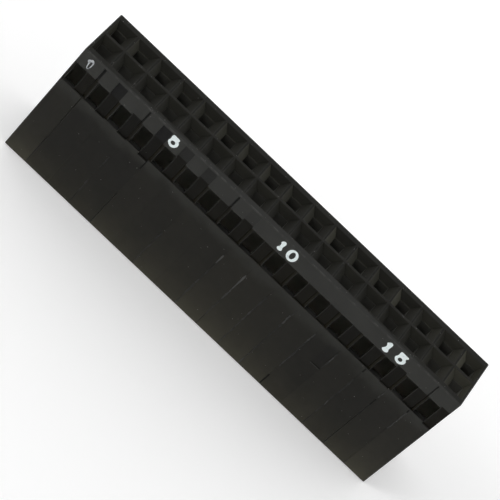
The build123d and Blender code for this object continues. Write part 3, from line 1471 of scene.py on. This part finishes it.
@dataclass
class Studio:
    """A white floor, white surroundings, one soft lamp, a dark card behind the camera, and the camera."""

    camera_place: tuple[float, float, float] = (-10.949, -154.489, 158.229)
    camera_right: tuple[float, float, float] = (0.723882, 0.453454, 0.519976)
    camera_down: tuple[float, float, float] = (0.688004, -0.530637, -0.49505)
    lens: float = 181.813
    sensor: float = 36.0
    floor_size: float = 3000.0
    floor_drop: float = 0.02
    floor_colour: Rgb = (0.88, 0.88, 0.88)
    floor_glow: float = 0.22
    surround: float = 1.0
    lamp_place: tuple[float, float, float] = (-420.0, -330.0, 560.0)
    lamp_size: float = 420.0
    lamp_power: float = 2.6
    card_distance: float = 420.0
    card_size: float = 560.0
    card_colour: Rgb = (0.3, 0.3, 0.3)

    @staticmethod
    def _paint(name: str, colour: Rgb, glow: float = 0.0, one_sided: bool = False) -> Material:
        """A plain matt paint for the studio.

        Args:
            name: The material's name.
            colour: The paint's colour.
            glow: White added where the paint is seen as background, so that it reaches full white.
            one_sided: Whether it is clear from behind, and to whatever stands right on it.

        Returns:
            The material.
        """
        material, w = new_material(name)
        matt = w.fill(w.add("ShaderNodeBsdfDiffuse"), Color=colour)
        path = w.add("ShaderNodeLightPath").outputs
        seen = w.maths("ADD", path["Is Camera Ray"], path["Is Glossy Ray"])
        seen = w.maths("ADD", seen, path["Is Transmission Ray"], clamp=True)
        light = w.fill(w.add("ShaderNodeEmission"), Strength=w.maths("MULTIPLY", seen, glow))
        shown = w.add("ShaderNodeAddShader")
        w.feed(shown.inputs[0], matt.outputs[0])
        w.feed(shown.inputs[1], light.outputs[0])
        if one_sided:
            behind = w.add("ShaderNodeNewGeometry").outputs["Backfacing"]
            touching = w.maths("LESS_THAN", path["Ray Length"], 0.1 * MM)
            clear = w.add("ShaderNodeBsdfTransparent")
            sources = (w.maths("MAXIMUM", behind, touching), shown.outputs[0], clear.outputs[0])
            shown = w.add("ShaderNodeMixShader")
            for socket, source in zip(shown.inputs, sources):
                w.feed(socket, source)
        w.fill(w.add("ShaderNodeOutputMaterial"), Surface=shown.outputs[0])
        return material

    def floor(self) -> None:
        """Lays the white floor under the object."""
        shape = bmesh.new()
        bmesh.ops.create_grid(shape, x_segments=4, y_segments=4, size=self.floor_size / 2 * MM)
        bmesh.ops.translate(shape, vec=(0, 0, -self.floor_drop * MM), verts=shape.verts)
        paint = self._paint("white floor", self.floor_colour, self.floor_glow, one_sided=True)
        keep("studio_floor", shape, paint)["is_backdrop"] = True

    def card(self) -> None:
        """Hangs the dark card behind the camera, which keeps the slopes that face it black."""
        away = Vector(self.camera_place).normalized()
        shape = bmesh.new()
        bmesh.ops.create_grid(shape, x_segments=1, y_segments=1, size=self.card_size / 2 * MM)
        turn = away.to_track_quat("Z", "Y").to_matrix().to_4x4()
        place = Matrix.Translation(away * self.card_distance * MM) @ turn
        bmesh.ops.transform(shape, matrix=place, verts=shape.verts)
        card = keep("dark_card", shape, self._paint("dark card", self.card_colour))
        card.visible_camera = False
        card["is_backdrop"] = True

    def lamp(self) -> None:
        """Hangs one large soft lamp in front of the numbered side, to the left and above."""
        data = bpy.data.lights.new("soft_lamp", "AREA")
        data.shape = "SQUARE"
        data.size = self.lamp_size * MM
        data.energy = self.lamp_power
        lamp = bpy.data.objects.new("soft_lamp", data)
        bpy.context.scene.collection.objects.link(lamp)
        place = Vector(self.lamp_place)
        lamp.location = place * MM
        lamp.rotation_euler = place.to_track_quat("Z", "Y").to_euler()

    def surroundings(self) -> None:
        """Surrounds the scene with plain white."""
        world = bpy.data.worlds.new("white_surroundings")
        world.use_nodes = True
        sky = world.node_tree.nodes["Background"]
        sky.inputs["Color"].default_value = (1.0, 1.0, 1.0, 1.0)
        sky.inputs["Strength"].default_value = self.surround
        bpy.context.scene.world = world

    def camera(self) -> None:
        """Sets up the camera at the photograph's angle."""
        data = bpy.data.cameras.new("front_view")
        data.lens = self.lens
        data.sensor_width = self.sensor
        data.clip_start = 0.01
        data.clip_end = 10.0
        right, down = Vector(self.camera_right), Vector(self.camera_down)
        axes = Matrix((right, -down, right.cross(-down))).transposed().to_4x4()
        camera = bpy.data.objects.new("front_view", data)
        bpy.context.scene.collection.objects.link(camera)
        camera.matrix_world = Matrix.Translation(Vector(self.camera_place) * MM) @ axes
        bpy.context.scene.camera = camera

    def build(self) -> None:
        """Sets up the whole studio."""
        bpy.context.scene.view_settings.view_transform = "Standard"
        self.floor()
        self.card()
        self.lamp()
        self.surroundings()
        self.camera()


def corners() -> list[list[float]]:
    """Lowest and highest corner of all that is shown, as plain lists."""
    bpy.context.view_layer.update()
    return [list(corner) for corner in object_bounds()]


def settle(piece: Piece) -> None:
    """Takes a piece's mesh from millimetres to metres, lets it ride on the body and logs it.

    Args:
        piece: A finished piece.
    """
    piece.data.transform(Matrix.Scale(MM, 4))
    piece.data.update()
    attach(piece, "root")
    log.info("%s: %d faces", piece.name, len(piece.data.polygons))


def main() -> None:
    """Builds every piece in order and works out the packed and dressed sizes."""
    logging.basicConfig(level=logging.INFO, format="%(name)s: %(message)s")
    packed_box = corners()
    layout = Layout()
    finishes = Finishes(Effects(layout))
    body = MouldedBody(layout).build(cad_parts["housing"], finishes.of_zones())
    plastic = [body, *PlateSeams(layout).build(finishes)]
    numbers = PositionNumbers(layout).build(finishes)
    lint = Lint(layout).build(body, finishes.lint)
    for piece in (*plastic, *numbers, lint):
        settle(piece)
    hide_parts("housing")
    Studio().build()
    {"packed": packed_box, "dressed": corners()}


if __name__ == "__main__":
    main()
